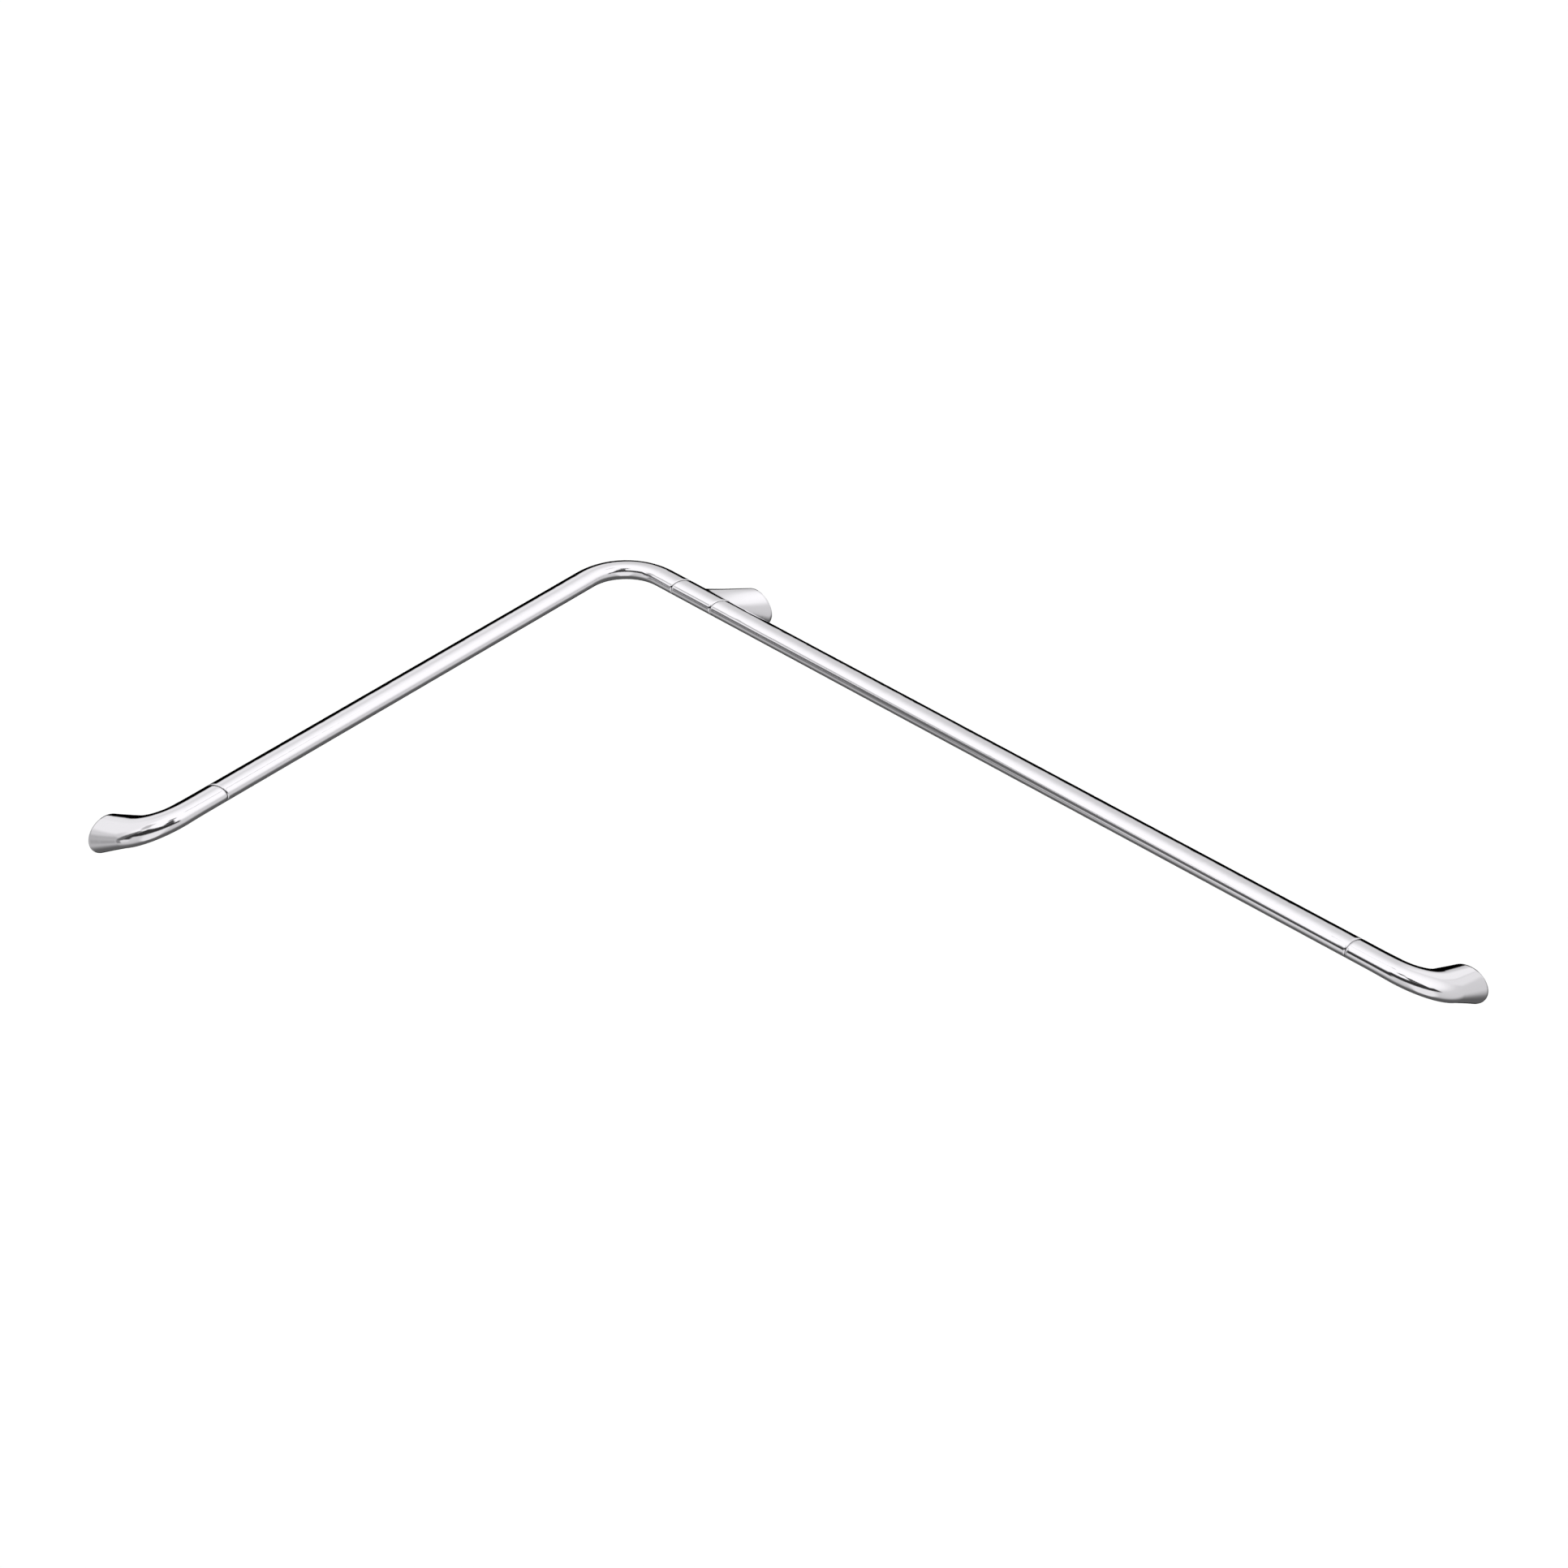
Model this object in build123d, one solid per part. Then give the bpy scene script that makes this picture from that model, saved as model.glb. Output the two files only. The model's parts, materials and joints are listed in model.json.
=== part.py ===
from build123d import *
import os
from math import atan2, cos, degrees, hypot, radians, sin

# Corner grab bar for a bath or shower: an oval chromed rail that turns once round the corner of a
# room. Three cast brackets sweep from the rail to round feet, two on the long wall and one on the
# short wall, and each foot hides a wall plate. +X runs along the long wall, the long wall faces -Y,
# the short wall faces +X, and the origin is the middle of the middle wall plate's back face.

# Overall reach, from each wall to the far edge of the end foot on the other wall
long_reach = 900.0
short_reach = 600.0
wall_offset = 53.0        # rail axis to each wall
corner_radius = 49.0      # rail centreline round the corner

# Rail section: an oval whose room-side edge is tilted up towards the hand
rail_width = 35.0
rail_thickness = 16.6
rail_tilt = 28.8          # degrees
rail_wall = 1.5
seam_chamfer = 0.8        # both edges of every visible joint line

# Bracket castings
bracket_length = 88.0     # joint line to the far edge of the foot
foot_diameter = 34.8
foot_drop = 27.6          # foot centre below the rail axis
arm_bend_radius = 30.0
arm_turn = 81.5           # degrees that the arm turns towards the wall
flare_length = 100.0      # stretch before the wall over which the oval grows into the round foot
flare_power = 2.2         # a higher power keeps the oval for longer

# Middle bracket: a straight hub in line with the rail, and a flat branch that grows into its foot
hub_start = 72.5          # from the crossing of the two rail axes
hub_length = 46.0
middle_foot_x = 112.2     # foot centre, from the crossing of the two rail axes
middle_foot_diameter = 36.4
branch_start_x = 90.5     # where the branch's axis leaves the rail's
branch_thickness = 9.4    # of the flat oval that it starts as, inside the hub
branch_power = 1.35       # a higher power keeps the branch flat for longer

# Spigots that the tubes slide over, and the set screws that lock them from below
spigot_length = 28.0
spigot_clearance = 0.3
joint_screw_setback = 12.0
joint_screw_recess = 0.4

# Wall plates in the feet
plate_length = 26.0
plate_height = 18.0
plate_thickness = 7.0
plate_lift = 2.0          # plate centre above the foot centre
plate_clearance = 0.3
fixing_spacing = 14.0
fixing_hole = 5.3
fixing_head = 9.8

# Socket set screws
screw_diameter = 4.0
screw_length = 6.0
screw_socket = 2.0        # across flats
screw_socket_depth = 2.2
thread_clearance = 0.1

half_width = rail_width / 2
half_thickness = rail_thickness / 2
foot_radius = foot_diameter / 2
middle_foot_radius = middle_foot_diameter / 2
wall_side = Vector(0, 1, 0)
along = Vector(1, 0, 0)
hub_end = hub_start + hub_length
long_seam = long_reach - wall_offset - bracket_length
short_seam = short_reach - wall_offset - bracket_length
right_foot_x = long_seam + bracket_length - foot_radius
left_foot_x = short_seam + bracket_length - foot_radius
corner_plane = Plane(origin=(0, 0, 0), z_dir=(1, 1, 0))
to_origin = Location((-middle_foot_x, -wall_offset, foot_drop - plate_lift))

# The arm's centreline lies in one sloping plane: a bend off the rail axis, then a run to the wall
arm_angle = radians(arm_turn)
arm_reach = hypot(foot_drop, wall_offset)
arm_slope = degrees(atan2(foot_drop, wall_offset))
arm_run = (arm_reach - arm_bend_radius * (1 - cos(arm_angle))) / sin(arm_angle)
arm_bend = arm_bend_radius * arm_angle


def across(tilt):
    """Unit vector across the rail towards the wall, sloping down by tilt degrees."""
    return Vector(0, cos(radians(tilt)), -sin(radians(tilt)))


def rail_plane(x):
    """Section plane of the long arm at x, with its x axis along the oval's long axis."""
    return Plane(origin=(x, 0, 0), x_dir=-across(rail_tilt), z_dir=along)


def oval(inset):
    """The rail's outline, drawn in by inset all round."""
    return Ellipse(half_width - inset, half_thickness - inset)


def edge_break(seam, inward):
    """What is taken off a piece's outer edge at a joint line; inward is +1 or -1 along X."""
    step = inward * seam_chamfer
    slab = extrude(rail_plane(seam - step) * oval(-3 * seam_chamfer), amount=3 * step)
    small_end = rail_plane(seam - step) * oval(2 * seam_chamfer)
    large_end = rail_plane(seam + 2 * step) * oval(-seam_chamfer)
    return slab - loft([small_end, large_end], ruled=True)


def rail_body(start, end):
    """Solid oval stretch along the long arm."""
    return extrude(rail_plane(start) * oval(0), amount=end - start)


def rail_bore(start, end):
    """What is taken out of a rail piece to leave a tube."""
    return extrude(rail_plane(start) * oval(rail_wall), amount=end - start)


def mirror_to_short_arm(solid):
    """Carry a piece of the long arm to the short arm, across the corner's bisecting plane."""
    return mirror(solid, about=corner_plane)


def arm_centre(distance, foot_x):
    """Point on the arm's centreline at a distance before the wall, and the angle turned by then."""
    bend_start = foot_x - arm_run * cos(arm_angle) - arm_bend_radius * sin(arm_angle)
    if distance <= arm_run:
        angle = arm_angle
        x = foot_x - distance * cos(angle)
        depth = arm_reach - distance * sin(angle)
    elif distance <= arm_run + arm_bend:
        angle = (arm_run + arm_bend - distance) / arm_bend_radius
        x = bend_start + arm_bend_radius * sin(angle)
        depth = arm_bend_radius * (1 - cos(angle))
    else:
        angle = 0.0
        x = bend_start - (distance - arm_run - arm_bend)
        depth = 0.0
    return Vector(x, 0, 0) + across(arm_slope) * depth, angle


def arm_section(distance, foot_x):
    """Arm section: the rail's tilted oval at first, growing into an upright circle at the wall."""
    centre, angle = arm_centre(distance, foot_x)
    ease = 1 - distance / flare_length
    tilt = rail_tilt * (1 - ease)
    facing = angle + radians(90 - arm_turn) * ease
    long_axis = across(rail_tilt) * -cos(facing) + along * sin(facing)
    short_axis = Vector(0, sin(radians(tilt)), cos(radians(tilt)))
    growth = ease**flare_power
    width = half_width * (1 - growth) + foot_radius * growth
    thickness = half_thickness * (1 - growth) + foot_radius * growth
    plane = Plane(origin=centre, x_dir=long_axis, z_dir=short_axis.cross(long_axis))
    return plane * Ellipse(width, thickness)


def arm(foot_x):
    """Arm swept through four sections, from the rail axis where its flare begins to the wall."""
    bend_start = arm_run + arm_bend
    bend_middle = arm_run + arm_bend / 2
    start, corner, middle, end, wall = (
        arm_centre(distance, foot_x)[0] for distance in (flare_length, bend_start, bend_middle, arm_run, 0)
    )
    path = [Line(start, corner), ThreePointArc(corner, middle, end), Line(end, wall)]
    stations = (flare_length, bend_middle, arm_run / 2, 0)
    sections = [arm_section(distance, foot_x) for distance in stations]
    return sweep(sections, path=Wire([curve.edge() for curve in path]), multisection=True)


def branch():
    """Straight stub from inside the hub to the wall: a flat tilted oval growing into a round foot."""
    start = Vector(branch_start_x, 0, 0)
    wall = Vector(middle_foot_x, wall_offset, -foot_drop)
    sections = []
    for share in (0, 1 / 3, 2 / 3, 1):
        tilt = radians(rail_tilt * (1 - share))
        upward = Vector(0, sin(tilt), cos(tilt))
        growth = share**branch_power
        width = half_width * (1 - growth) + middle_foot_radius * growth
        thickness = branch_thickness / 2 * (1 - growth) + middle_foot_radius * growth
        plane = Plane(origin=start + (wall - start) * share, x_dir=along, z_dir=upward.cross(along))
        sections.append(plane * Ellipse(width, thickness))
    return sweep(sections, path=Line(start, wall), multisection=True)


def plate_plane(foot_x):
    """Wall plane behind a foot, centred on its plate, with z pointing into the room."""
    return Plane(origin=(foot_x, wall_offset, plate_lift - foot_drop), x_dir=along, z_dir=-wall_side)


def foot_screw_plane(foot_x):
    """Underside of a plate at half its thickness, with z pointing down out of the foot."""
    height = plate_lift - foot_drop - plate_height / 2
    return Plane(origin=(foot_x, wall_offset - plate_thickness / 2, height), x_dir=along, z_dir=(0, 0, -1))


def joint_screw_plane(seam, into_tube):
    """Inner end of a joint's set screw, with z pointing out through the oval's lower face."""
    outward = Vector(0, -sin(radians(rail_tilt)), -cos(radians(rail_tilt)))
    depth = half_thickness - joint_screw_recess - screw_length
    x = seam + into_tube * joint_screw_setback
    return Plane(origin=Vector(x, 0, 0) + outward * depth, x_dir=along, z_dir=outward)


def drill(plane, clearance):
    """Hole for a set screw, from its inner end out past any face above it."""
    return extrude(plane * Circle(screw_diameter / 2 + clearance), amount=4 * screw_length)


def foot_recess(foot_x):
    """Recess that hangs on the wall plate's top edge, and the tapped hole that reaches it from below."""
    grow = 2 * plate_clearance
    slot = Pos(0, -plate_clearance) * SlotOverall(plate_length + grow, plate_height + grow)
    recess = extrude(plate_plane(foot_x) * slot, amount=plate_thickness + plate_clearance)
    return recess + drill(foot_screw_plane(foot_x), thread_clearance)


def spigot(seam, into_tube):
    """Oval spigot from a joint line into its tube, with the tapped hole for its set screw."""
    plane = rail_plane(seam)
    root = 2 * spigot_clearance
    tongue = extrude(plane * oval(rail_wall + spigot_clearance), amount=into_tube * spigot_length)
    inner = extrude(plane * oval(rail_wall + spigot_clearance), amount=-into_tube * root)
    return tongue + inner - drill(joint_screw_plane(seam, into_tube), thread_clearance)


def end_bracket(seam):
    """End casting: short neck, bent arm and round foot in one piece, with a spigot on its neck."""
    foot_x = seam + bracket_length - foot_radius
    neck_end = arm_centre(flare_length, foot_x)[0].X
    neck = rail_body(seam, neck_end) - edge_break(seam, 1)
    return neck + arm(foot_x) + spigot(seam, -1) - foot_recess(foot_x)


def middle_bracket():
    """Hub in line with the rail, with a spigot at each end and the branch off its back."""
    hub = rail_body(hub_start, hub_end) - edge_break(hub_start, 1) - edge_break(hub_end, -1)
    body = hub + branch() + spigot(hub_start, -1) + spigot(hub_end, 1)
    return body - foot_recess(middle_foot_x)


def tube_leg(seam):
    """Tube from the corner bend to a joint line, drilled for the joint's set screw."""
    leg = rail_body(corner_radius, seam) - rail_bore(corner_radius, seam) - edge_break(seam, -1)
    return leg - drill(joint_screw_plane(seam, -1), 2 * thread_clearance)


def corner_tube():
    """One bent tube: the short arm, the right-angle bend, and a short stub along the long wall."""
    ring = rail_plane(corner_radius) * (oval(0) - oval(rail_wall))
    bend_axis = Axis((corner_radius, -corner_radius, 0), (0, 0, 1))
    bend = revolve(ring, axis=bend_axis, revolution_arc=90)
    return tube_leg(hub_start) + bend + mirror_to_short_arm(tube_leg(short_seam))


def long_tube():
    """Straight tube from the middle bracket to the far end bracket."""
    tube = rail_body(hub_end, long_seam) - rail_bore(hub_end, long_seam)
    for seam, into_tube in ((hub_end, 1), (long_seam, -1)):
        tube -= edge_break(seam, into_tube)
        tube -= drill(joint_screw_plane(seam, into_tube), 2 * thread_clearance)
    return tube


def wall_plate(foot_x):
    """Flat plate with rounded ends and two countersunk holes, screwed to the wall."""
    plane = plate_plane(foot_x)
    plate = extrude(plane * SlotOverall(plate_length, plate_height), amount=plate_thickness)
    bore = Cylinder(fixing_hole / 2, plate_thickness, align=(Align.CENTER, Align.CENTER, Align.MIN))
    sink_depth = (fixing_head - fixing_hole) / 2
    sink = Cone(fixing_hole / 2, fixing_head / 2, sink_depth, align=(Align.CENTER, Align.CENTER, Align.MAX))
    hole = bore + Pos(0, 0, plate_thickness) * sink
    for side in (-1, 1):
        plate -= plane * (Pos(side * fixing_spacing / 2, 0, 0) * hole)
    return plate


def set_screw(plane):
    """Headless screw with a hexagon socket in its outer end."""
    body = extrude(plane * Circle(screw_diameter / 2), amount=screw_length)
    outer_end = plane.offset(screw_length)
    hexagon = outer_end * RegularPolygon(screw_socket / 2, 6, major_radius=False)
    return body - extrude(hexagon, amount=-screw_socket_depth)


pieces = {
    "corner_tube": corner_tube(),
    "long_tube": long_tube(),
    "left_end_bracket": mirror_to_short_arm(end_bracket(short_seam)),
    "middle_bracket": middle_bracket(),
    "right_end_bracket": end_bracket(long_seam),
    "left_wall_plate": mirror_to_short_arm(wall_plate(left_foot_x)),
    "middle_wall_plate": wall_plate(middle_foot_x),
    "right_wall_plate": wall_plate(right_foot_x),
    "left_foot_screw": mirror_to_short_arm(set_screw(foot_screw_plane(left_foot_x))),
    "middle_foot_screw": set_screw(foot_screw_plane(middle_foot_x)),
    "right_foot_screw": set_screw(foot_screw_plane(right_foot_x)),
    "left_joint_screw": mirror_to_short_arm(set_screw(joint_screw_plane(short_seam, -1))),
    "corner_joint_screw": set_screw(joint_screw_plane(hub_start, -1)),
    "middle_joint_screw": set_screw(joint_screw_plane(hub_end, 1)),
    "right_joint_screw": set_screw(joint_screw_plane(long_seam, -1)),
}

os.makedirs("parts", exist_ok=True)
for name, piece in pieces.items():
    export_step(piece.moved(to_origin), f"parts/{name}.step")
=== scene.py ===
import json
import math

import bmesh
import bpy
from mathutils import Matrix, Vector

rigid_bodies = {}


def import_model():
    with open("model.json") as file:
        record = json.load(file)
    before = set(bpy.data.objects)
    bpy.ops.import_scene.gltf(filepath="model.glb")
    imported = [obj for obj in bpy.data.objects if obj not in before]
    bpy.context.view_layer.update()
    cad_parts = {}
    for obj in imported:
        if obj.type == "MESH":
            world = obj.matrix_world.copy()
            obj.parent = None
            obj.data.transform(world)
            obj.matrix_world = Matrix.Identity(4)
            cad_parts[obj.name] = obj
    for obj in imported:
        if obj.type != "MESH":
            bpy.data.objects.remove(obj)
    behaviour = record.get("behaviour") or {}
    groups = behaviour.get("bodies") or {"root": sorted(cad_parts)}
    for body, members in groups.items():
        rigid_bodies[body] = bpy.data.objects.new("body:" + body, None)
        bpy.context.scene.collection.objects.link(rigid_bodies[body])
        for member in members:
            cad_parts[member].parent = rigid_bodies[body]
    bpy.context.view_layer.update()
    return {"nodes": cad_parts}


for leftover in list(bpy.data.objects):
    bpy.data.objects.remove(leftover)
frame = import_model()
scene = bpy.context.scene


# Rail tubes
# Oval metal tube, drawn and bent, then polished and chrome plated. The two tubes slide over the
# spigots of the cast brackets and are locked from below by set screws.
chrome_white = "#F6F4F8"
# Colour of the joint lines: dirt in the gaps, and painted shadow where shade falls between tube and bracket.
joint_dirt_and_painted_shadow = "#3A3A3D"
joint_half_width = 0.0003
right_joint_half_width = 0.00012
haze_size = 0.045
tube_roughness = (0.012, 0.03)
tube_rounding = 0.002


def colour(hex_code):
    """Linear colour with alpha, from an sRGB hex code."""
    channels = [int(hex_code[i : i + 2], 16) / 255 for i in (1, 3, 5)]
    return [c / 12.92 if c <= 0.04045 else ((c + 0.055) / 1.055) ** 2.4 for c in channels] + [1]


def add_node(tree, kind, settings=(), values=(), links=()):
    """Adds one node with its settings, socket values and incoming links."""
    node = tree.nodes.new(kind)
    for name, value in dict(settings).items():
        setattr(node, name, value)
    for socket, value in dict(values).items():
        node.inputs[socket].default_value = value
    for socket, source in dict(links).items():
        tree.links.new(source, node.inputs[socket])
    return node


def empty_material(name):
    """New node material without any nodes."""
    material = bpy.data.materials.new(name)
    material.use_nodes = True
    material.node_tree.nodes.clear()
    return material, material.node_tree


def add_uneven_roughness(tree, place, patch_size, detail, smoothest, roughest):
    """Roughness that wanders between two values over patches of a size in metres."""
    patches = add_node(
        tree,
        "ShaderNodeTexNoise",
        values={"Scale": 1 / patch_size, "Detail": detail},
        links={"Vector": place.outputs["Object"]},
    )
    span = {"From Min": 0.3, "From Max": 0.7, "To Min": smoothest, "To Max": roughest}
    return add_node(tree, "ShaderNodeMapRange", (), span, {"Value": patches.outputs[0]}).outputs[0]


def add_joint_lines(tree, place):
    """1 in the narrow gap at the bottom of each joint line, where dirt and painted shadow go; 0 on the open
    chrome.
    """
    parts = add_node(tree, "ShaderNodeSeparateXYZ", links={"Vector": place.outputs["Object"]})
    on_rail = add_node(
        tree, "ShaderNodeMath", {"operation": "LESS_THAN"}, {1: rail_back}, {0: parts.outputs["Y"]}
    )
    gaps = None
    for axis, end, half_width in tube_ends:
        gap = add_node(
            tree,
            "ShaderNodeMath",
            {"operation": "COMPARE"},
            {1: end, 2: half_width},
            {0: parts.outputs[axis]},
        )
        if gaps:
            gap = add_node(
                tree, "ShaderNodeMath", {"operation": "MAXIMUM"}, (), {0: gap.outputs[0], 1: gaps.outputs[0]}
            )
        gaps = gap
    return add_node(
        tree, "ShaderNodeMath", {"operation": "MULTIPLY"}, (), {0: gaps.outputs[0], 1: on_rail.outputs[0]}
    ).outputs[0]


def add_chrome_colour(tree, place):
    """Bright chrome, with dirt and painted shadow in the joint lines. Sockets 6 and 7 are Mix's two colours.
    """
    return add_node(
        tree,
        "ShaderNodeMix",
        {"data_type": "RGBA"},
        {6: colour(chrome_white), 7: colour(joint_dirt_and_painted_shadow)},
        {0: add_joint_lines(tree, place)},
    ).outputs[2]


# Where the tubes end, how wide the dark joint lines of dirt and painted shadow are there, and how far
# back the rail reaches. The joint at the right end closes the tightest.
long_points = [vertex.co for vertex in frame["nodes"]["long_tube"].data.vertices]
corner_points = [vertex.co for vertex in frame["nodes"]["corner_tube"].data.vertices]
rail_back = max(point.y for point in long_points)
tube_ends = [
    ("X", min(point.x for point in long_points), joint_half_width),
    ("X", max(point.x for point in long_points), right_joint_half_width),
    ("X", max(point.x for point in corner_points), joint_half_width),
    ("Y", min(point.y for point in corner_points), joint_half_width),
]

# Bright chrome over a polished tube: a mirror with the faintest haze where a hand and a cloth pass.
# The rounded normal hides the facets of the tube's mesh in what it mirrors.
tube_chrome, tree = empty_material("chrome_plate_on_polished_tube")
place = add_node(tree, "ShaderNodeTexCoord")
smooth = add_node(tree, "ShaderNodeBevel", {"samples": 8}, {"Radius": tube_rounding})
shader = add_node(
    tree,
    "ShaderNodeBsdfPrincipled",
    values={"Metallic": 1.0},
    links={
        "Base Color": add_chrome_colour(tree, place),
        "Roughness": add_uneven_roughness(tree, place, haze_size, 3.0, *tube_roughness),
        "Normal": smooth.outputs[0],
    },
)
add_node(tree, "ShaderNodeOutputMaterial", links={"Surface": shader.outputs[0]})

for name in ("corner_tube", "long_tube"):
    frame["nodes"][name].material_slots[0].material = tube_chrome


# Cast brackets
# One-piece castings: hub or neck, sweeping arm and round foot. They are linished by hand before
# plating, so their chrome is a little softer than the tube's and very slightly wavy.
casting_rounding = 0.003
wave_size = 0.012
wave_height = 0.0004

casting_chrome, tree = empty_material("chrome_plate_on_linished_casting")
place = add_node(tree, "ShaderNodeTexCoord")
smooth = add_node(tree, "ShaderNodeBevel", {"samples": 16}, {"Radius": casting_rounding})
wave = add_node(
    tree,
    "ShaderNodeTexNoise",
    values={"Scale": 1 / wave_size, "Detail": 2.0},
    links={"Vector": place.outputs["Object"]},
)
wavy = add_node(
    tree,
    "ShaderNodeBump",
    values={"Strength": 0.05, "Distance": wave_height},
    links={"Height": wave.outputs[0], "Normal": smooth.outputs[0]},
)
shader = add_node(
    tree,
    "ShaderNodeBsdfPrincipled",
    values={"Metallic": 1.0, "Roughness": 0.04},
    links={"Base Color": add_chrome_colour(tree, place), "Normal": wavy.outputs[0]},
)
add_node(tree, "ShaderNodeOutputMaterial", links={"Surface": shader.outputs[0]})

for name in ("left_end_bracket", "middle_bracket", "right_end_bracket"):
    frame["nodes"][name].material_slots[0].material = casting_chrome


# Wall plates
# Stainless plates with two countersunk holes, screwed to the wall first. The feet hang on them.
# The mill finish gives a soft grey sheen with a fine grain.
plate_grain = 0.002
plate_roughness = (0.3, 0.45)

plate_steel, tree = empty_material("stainless_steel_plate_mill_finish")
place = add_node(tree, "ShaderNodeTexCoord")
shader = add_node(
    tree,
    "ShaderNodeBsdfPrincipled",
    values={"Base Color": colour("#C9C9CB"), "Metallic": 1.0},
    links={"Roughness": add_uneven_roughness(tree, place, plate_grain, 4.0, *plate_roughness)},
)
add_node(tree, "ShaderNodeOutputMaterial", links={"Surface": shader.outputs[0]})

for name in ("left_wall_plate", "middle_wall_plate", "right_wall_plate"):
    frame["nodes"][name].material_slots[0].material = plate_steel


# Set screws
# Headless socket screws of dull stainless steel, one under each foot and one under each joint.
# Turning leaves them darker than the plates, with a finer grain.
screw_grain = 0.0008
screw_roughness = (0.3, 0.4)

screw_steel, tree = empty_material("stainless_steel_screw_turned")
place = add_node(tree, "ShaderNodeTexCoord")
shader = add_node(
    tree,
    "ShaderNodeBsdfPrincipled",
    values={"Base Color": colour("#A9A9AC"), "Metallic": 1.0},
    links={"Roughness": add_uneven_roughness(tree, place, screw_grain, 2.0, *screw_roughness)},
)
add_node(tree, "ShaderNodeOutputMaterial", links={"Surface": shader.outputs[0]})

for name, node in frame["nodes"].items():
    if name.endswith("_screw"):
        node.material_slots[0].material = screw_steel


# Floor
# Plain white studio floor, as far below the bar as it is when the bar is on its wall. A little glow
# for the camera makes up what the white paint swallows, so the floor is white and still takes a shadow.
floor_centre = (0.28, -0.3, -0.9)
floor_radius = 30

floor_white, tree = empty_material("white_studio_floor")
light_path = add_node(tree, "ShaderNodeLightPath")
shader = add_node(
    tree,
    "ShaderNodeBsdfPrincipled",
    values={
        "Base Color": colour("#F6F6F6"),
        "Roughness": 0.9,
        "Specular IOR Level": 0.0,
        "Emission Color": colour("#595959"),
    },
    links={"Emission Strength": light_path.outputs["Is Camera Ray"]},
)
add_node(tree, "ShaderNodeOutputMaterial", links={"Surface": shader.outputs[0]})

floor_mesh = bpy.data.meshes.new("floor")
shape = bmesh.new()
bmesh.ops.create_circle(
    shape, cap_ends=True, segments=96, radius=floor_radius, matrix=Matrix.Translation(floor_centre)
)
shape.to_mesh(floor_mesh)
shape.free()
floor_mesh.materials.append(floor_white)
floor = bpy.data.objects.new("floor", floor_mesh)
floor.visible_glossy = False
scene.collection.objects.link(floor)


# Studio
# White tent lit from above, with a grey floor, a dark opening in front where the photographer
# stands, and black cards low behind the bar. The chrome mirrors these, and all else sees only white.
wall_levels = [
    (-75, 0.5),
    (-45, 0.58),
    (-20, 0.64),
    (0, 0.66),
    (14, 0.69),
    (24, 0.8),
    (36, 0.98),
    (50, 1.08),
]
shade_azimuth, shade_elevation = -155, -62
shade_reach, shade_core = 64, 24
shade_level = 0.2
# Each card: azimuths from the front towards +X, elevations, soft edge (all in degrees), brightness
cards = {
    "foot of the left wall": ((-132, -104), (0, 16), 6, 0.85),
    "left wall": ((-106, -62), (0, 44), 6, 0.9),
    "grey floor at the left": ((-110, -40), (-50, -2), 6, 0.45),
    "grey beam high at the left": ((-80, -40), (47, 59), 3, 0.52),
    "dark edge of the floor": ((-41, -28), (-44, -5), 3, 0.24),
    "pale floor in front": ((-28, -6), (-36, -15), 4, 0.74),
    "white sheet at the right": ((22, 70), (-75, 40), 8, 0.86),
    "grey curtain of the opening": ((-40, -24), (-16, 46), 4, 0.14),
    "foot of the opening": ((-26, -8), (-10, 12), 4, 0.04),
    "dark opening": ((-26, 92), (9, 36), 4, 0.03),
    "upper half of the opening": ((-22, 80), (32, 56), 4, 0.03),
    "top of the opening": ((40, 80), (56, 80), 4, 0.03),
    "vent overhead": ((-200, 200), (84, 100), 3, 0.03),
    "back wall, left half": ((-180, -164), (-10, 22), 3, 0.92),
    "back wall, right half": ((160, 180), (-10, 24), 5, 0.82),
    "black card behind the long arm": ((-175, -134), (-52, -6), 2, 0.0),
    "black card behind the short arm": ((-136, -108), (-52, -2), 2, 0.0),
    "grey batten at the back": ((-153, -144), (57, 64), 1.5, 0.7),
}

world = bpy.data.worlds.new("white_studio")
scene.world = world
world.use_nodes = True
tree = world.node_tree
tree.nodes.clear()


def direction(azimuth, elevation):
    """Unit vector towards an azimuth from the front and an elevation, in degrees."""
    a, e = math.radians(azimuth), math.radians(elevation)
    return Vector((math.sin(a) * math.cos(e), -math.cos(a) * math.cos(e), math.sin(e)))


def add_window(tree, angle, low, high, soft):
    """1 where an angle lies between low and high degrees, 0 outside, with soft edges."""
    edges = []
    for middle, step in ((low, soft), (high, -soft)):
        span = {"From Min": math.radians(middle - step), "From Max": math.radians(middle + step)}
        ease = {"interpolation_type": "SMOOTHSTEP"}
        edges.append(add_node(tree, "ShaderNodeMapRange", ease, span, {"Value": angle}).outputs[0])
    both = {0: edges[0], 1: edges[1]}
    return add_node(tree, "ShaderNodeMath", {"operation": "MULTIPLY"}, (), both).outputs[0]


def add_card(tree, light, name, sideways, upwards, soft, level):
    """Card of a grey level over a window of azimuth and elevation, in front of the light behind it."""
    window = {
        0: add_window(tree, azimuth.outputs[0], *sideways, soft),
        1: add_window(tree, elevation.outputs[0], *upwards, soft),
    }
    cover = add_node(tree, "ShaderNodeMath", {"operation": "MULTIPLY"}, (), window)
    settings = {"data_type": "FLOAT", "label": name}
    return add_node(tree, "ShaderNodeMix", settings, {3: level}, {0: cover.outputs[0], 2: light}).outputs[0]


place = add_node(tree, "ShaderNodeTexCoord")
parts = add_node(tree, "ShaderNodeSeparateXYZ", links={"Vector": place.outputs["Generated"]})
front = add_node(tree, "ShaderNodeMath", {"operation": "MULTIPLY"}, {1: -1.0}, {0: parts.outputs["Y"]})
azimuth = add_node(
    tree, "ShaderNodeMath", {"operation": "ARCTAN2"}, (), {0: parts.outputs["X"], 1: front.outputs[0]}
)
elevation = add_node(tree, "ShaderNodeMath", {"operation": "ARCSINE"}, (), {0: parts.outputs["Z"]})

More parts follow.
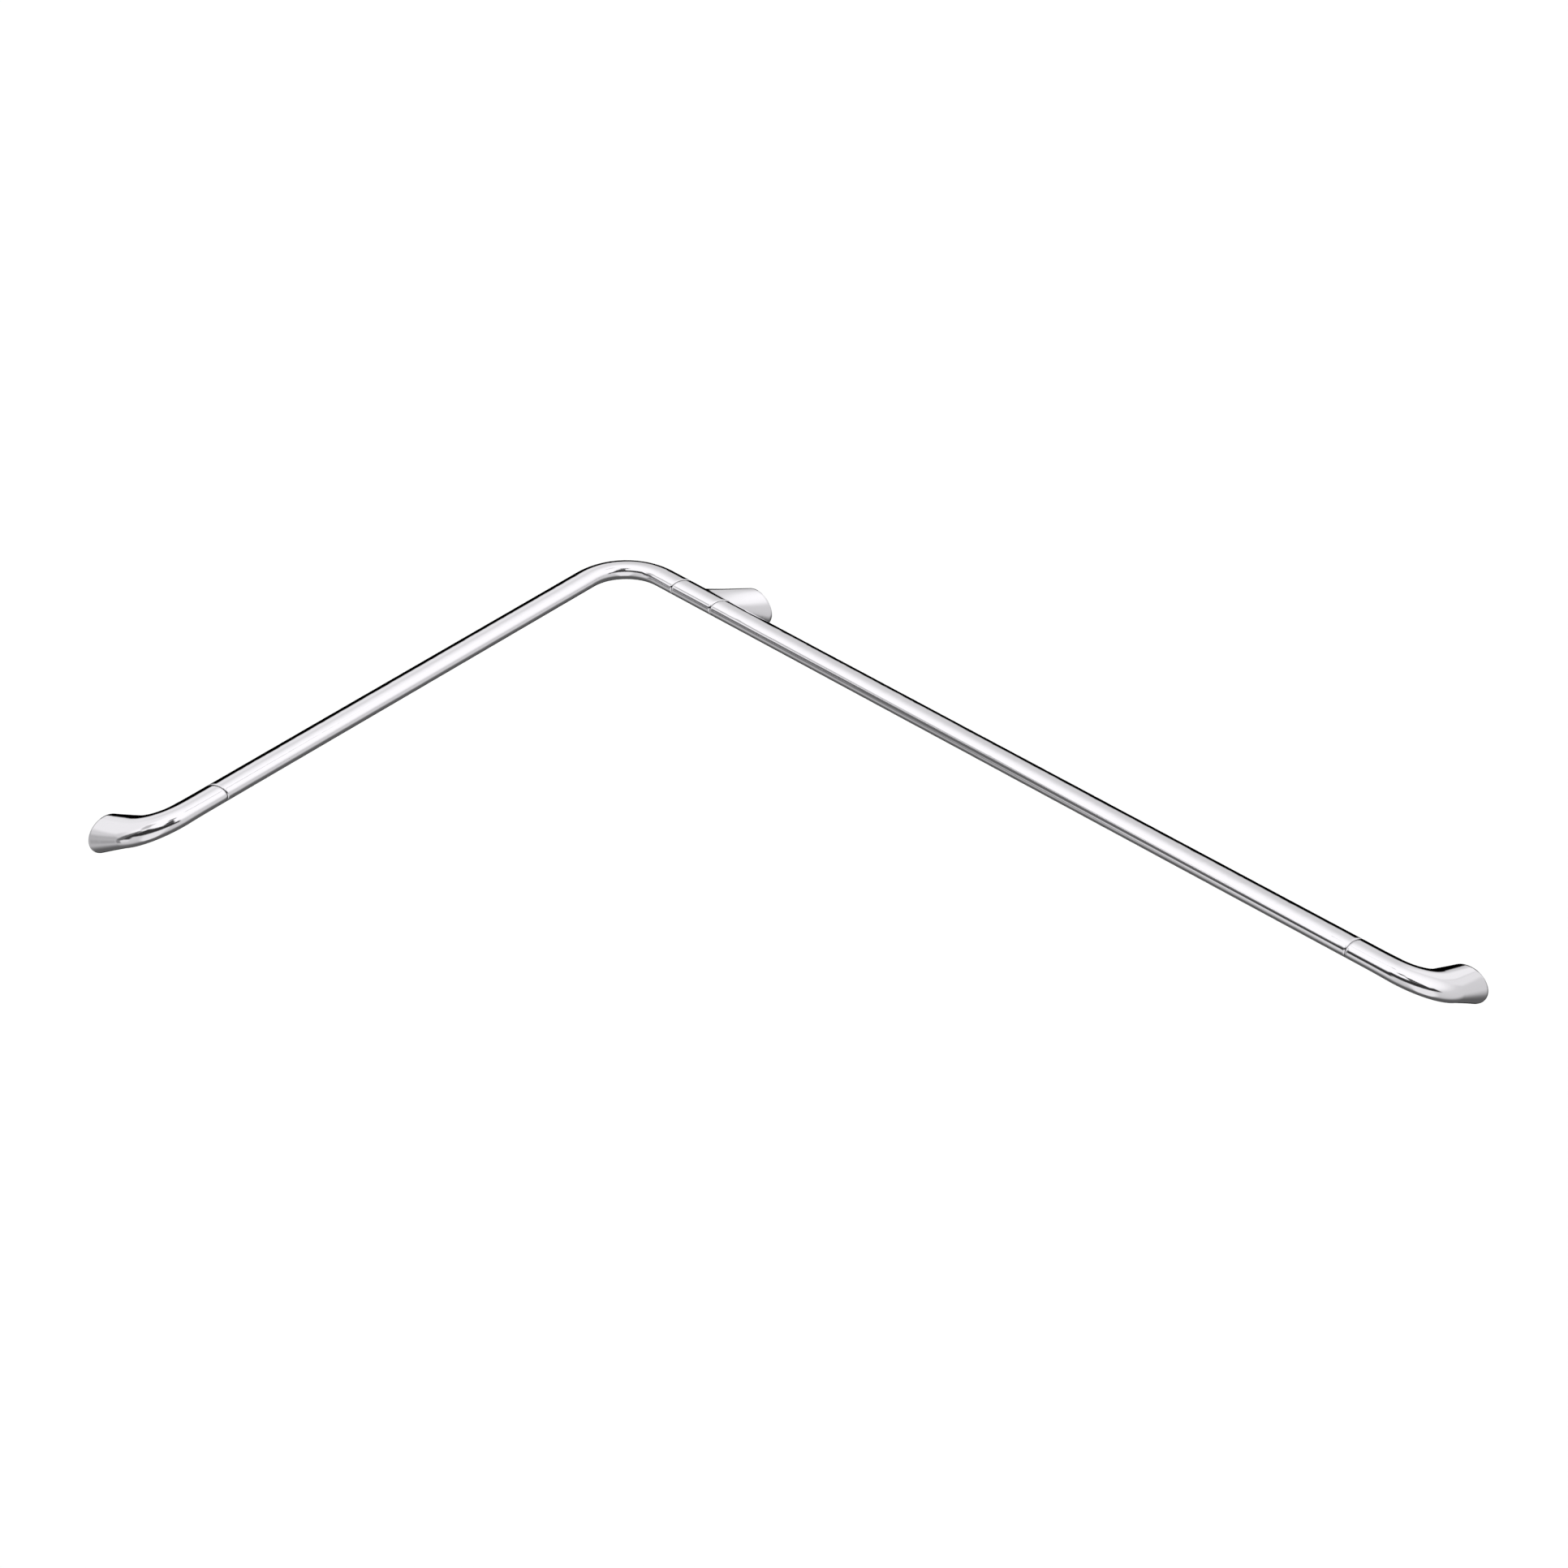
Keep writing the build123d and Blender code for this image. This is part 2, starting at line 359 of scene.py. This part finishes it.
# Grey floor below, brightening walls and a white ceiling
height = add_node(
    tree,
    "ShaderNodeMapRange",
    values={"From Min": math.radians(-90), "From Max": math.radians(90)},
    links={"Value": elevation.outputs[0]},
)
walls = add_node(tree, "ShaderNodeValToRGB", links={"Fac": height.outputs[0]})
while len(walls.color_ramp.elements) < len(wall_levels):
    walls.color_ramp.elements.new(1)
for point, (degrees, level) in zip(walls.color_ramp.elements, wall_levels):
    point.position = (degrees + 90) / 180
    point.color = (level, level, level, 1)

# Floor in the bar's own shade, towards the corner of the room
below = add_node(
    tree,
    "ShaderNodeVectorMath",
    {"operation": "DOT_PRODUCT"},
    {1: direction(shade_azimuth, shade_elevation)},
    {0: place.outputs["Generated"]},
)
shaded = add_node(
    tree,
    "ShaderNodeMapRange",
    {"interpolation_type": "SMOOTHSTEP"},
    {
        "From Min": math.cos(math.radians(shade_reach)),
        "From Max": math.cos(math.radians(shade_core)),
        "To Min": 1.0,
        "To Max": shade_level,
    },
    {"Value": below.outputs["Value"]},
)
light = add_node(
    tree, "ShaderNodeMath", {"operation": "MULTIPLY"}, (), {0: walls.outputs[0], 1: shaded.outputs[0]}
).outputs[0]
for name, (sideways, upwards, soft, level) in cards.items():
    light = add_card(tree, light, name, sideways, upwards, soft, level)

light_path = add_node(tree, "ShaderNodeLightPath")
white = add_node(tree, "ShaderNodeBackground", values={"Color": colour("#FFFFFF")})
studio = add_node(
    tree, "ShaderNodeBackground", values={"Color": colour("#FFFFFF")}, links={"Strength": light}
)
glow = add_node(
    tree,
    "ShaderNodeMixShader",
    links={0: light_path.outputs["Is Glossy Ray"], 1: white.outputs[0], 2: studio.outputs[0]},
)
add_node(tree, "ShaderNodeOutputWorld", links={"Surface": glow.outputs[0]})


# Camera
# Looks down at the bar from the room side, turned a little about its own axis as in the photograph.
camera_azimuth, camera_elevation = 40.79, 38.92
camera_roll = math.radians(1.399)
camera_place = (1.24553, -1.40049, 1.30904)

back = direction(camera_azimuth, camera_elevation)
level = direction(camera_azimuth + 90, 0)
upright = back.cross(level)
right = level * math.cos(camera_roll) + upright * math.sin(camera_roll)
above = upright * math.cos(camera_roll) - level * math.sin(camera_roll)
camera = bpy.data.objects.new("camera", bpy.data.cameras.new("camera"))
camera.data.sensor_width = 36
camera.data.lens = 58.79
camera.data.clip_end = 100
camera.matrix_world = Matrix((right, above, back)).transposed().to_4x4()
camera.location = camera_place
scene.collection.objects.link(camera)
scene.camera = camera

scene.view_settings.view_transform = "Standard"
